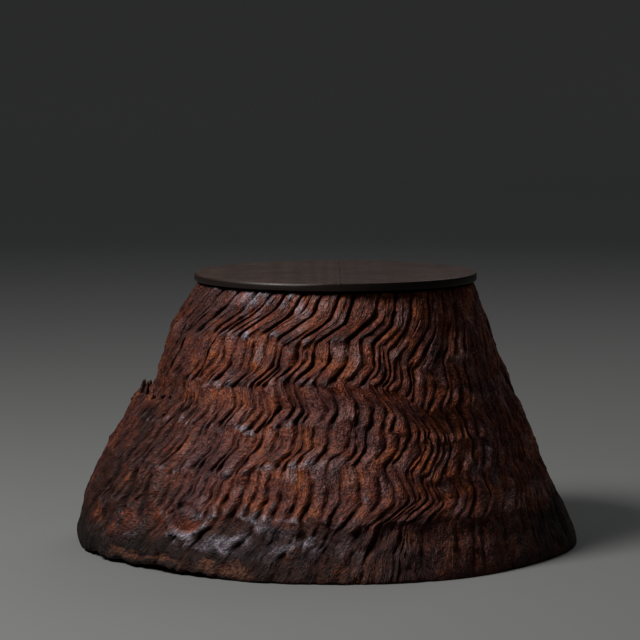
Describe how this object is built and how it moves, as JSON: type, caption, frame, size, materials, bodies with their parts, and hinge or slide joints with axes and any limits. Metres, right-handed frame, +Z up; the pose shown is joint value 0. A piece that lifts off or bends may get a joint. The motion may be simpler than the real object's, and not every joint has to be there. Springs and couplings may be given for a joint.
{
  "type": "hibachi brazier table",
  "caption": "Flared root-wood stump with a drop-in copper fire liner, closed by a round boarded lid to serve as a low table.",
  "frame": {"origin": "on the floor, under the middle of the stump's outline", "axes": "+Z up along the bore, +X to the right along the stump's longest reach, -Y to the front"},
  "size_m": [0.7191, 0.6675, 0.388],
  "materials": {
    "root_wood": "natural rippled root surface, waxed, satin",
    "copper": "heat-darkened sheet copper",
    "lid_wood": "planed boards, oiled, worn satin",
    "nail_iron": "forged, blackened"
  },
  "bodies": {
    "trunk": {"trunk": "root_wood"},
    "liner": {"liner_wall": "copper", "liner_floor": "copper", "liner_flange": "copper", "liner_rivets": "copper"},
    "lid": {"lid_board_left": "lid_wood", "lid_board_right": "lid_wood", "lid_batten_front": "lid_wood", "lid_batten_back": "lid_wood", "lid_nails": "nail_iron"}
  },
  "joints": [
    {"name": "liner_lift", "type": "slide", "parent": "trunk", "child": "liner", "axis": [0, 0, 1], "range_m": [0, 0.22]},
    {"name": "lid_lift", "type": "slide", "parent": "liner", "child": "lid", "axis": [0, 0, 1], "range_m": [0, 0.15]}
  ]
}
